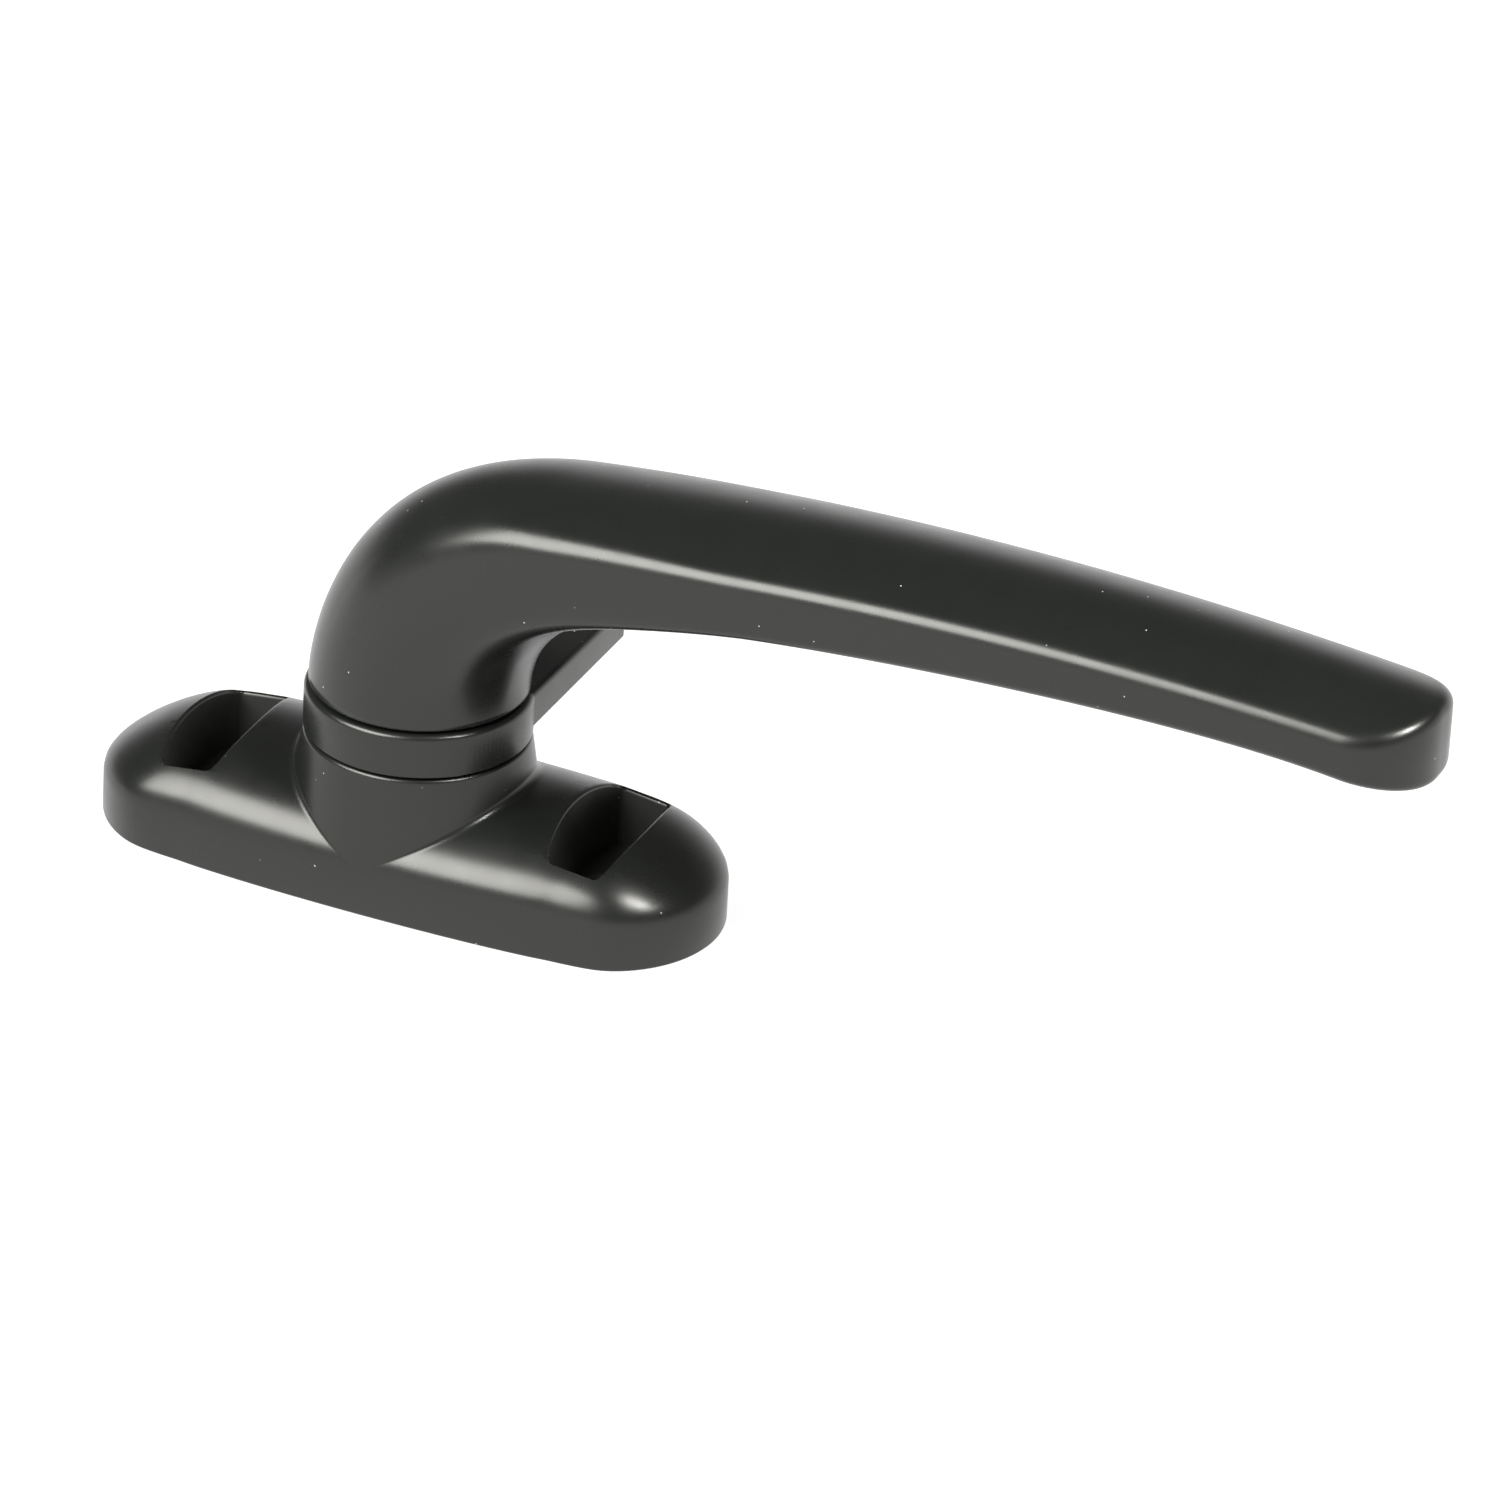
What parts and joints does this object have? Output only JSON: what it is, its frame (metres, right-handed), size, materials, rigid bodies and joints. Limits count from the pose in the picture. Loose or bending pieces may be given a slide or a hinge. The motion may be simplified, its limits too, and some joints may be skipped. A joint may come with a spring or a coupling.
{
  "type": "window turn handle",
  "caption": "Turn handle with a domed screw-on base, a broad latching nose and an arched lever.",
  "frame": {"origin": "on the turning axis, on the face that lies against the sash", "axes": "+X along the base towards the lever's tip, +Y towards the nose, +Z away from the sash along the turning axis"},
  "size_m": [0.1711, 0.0473, 0.0599],
  "materials": {
    "powder_coat": "satin charcoal powder coat on die-cast metal",
    "plated_steel": "zinc plated",
    "spring_steel": "hardened and blued",
    "acetal": "natural moulded acetal"
  },
  "bodies": {
    "base": {"base_housing": "powder_coat", "spindle_bush": "acetal", "thrust_washer": "acetal", "index_spring_front": "spring_steel", "index_spring_rear": "spring_steel", "stop_pin": "plated_steel", "base_cover": "plated_steel", "cover_screw_1": "plated_steel", "cover_screw_2": "plated_steel", "cover_screw_3": "plated_steel", "cover_screw_4": "plated_steel"},
    "handle": {"lever": "powder_coat", "lever_set_screw": "plated_steel", "nose_ring": "powder_coat", "spindle": "plated_steel", "index_cam": "acetal", "stop_disc": "plated_steel", "wave_washer": "spring_steel", "flat_washer": "plated_steel", "retaining_screw": "plated_steel"}
  },
  "joints": [
    {"name": "handle_turn", "type": "hinge", "parent": "base", "child": "handle", "pos_m": [0, 0, 0.022], "axis": [0, 0, 1], "range_deg": [-90, 0], "deforming": ["index_spring_front", "index_spring_rear"]}
  ]
}
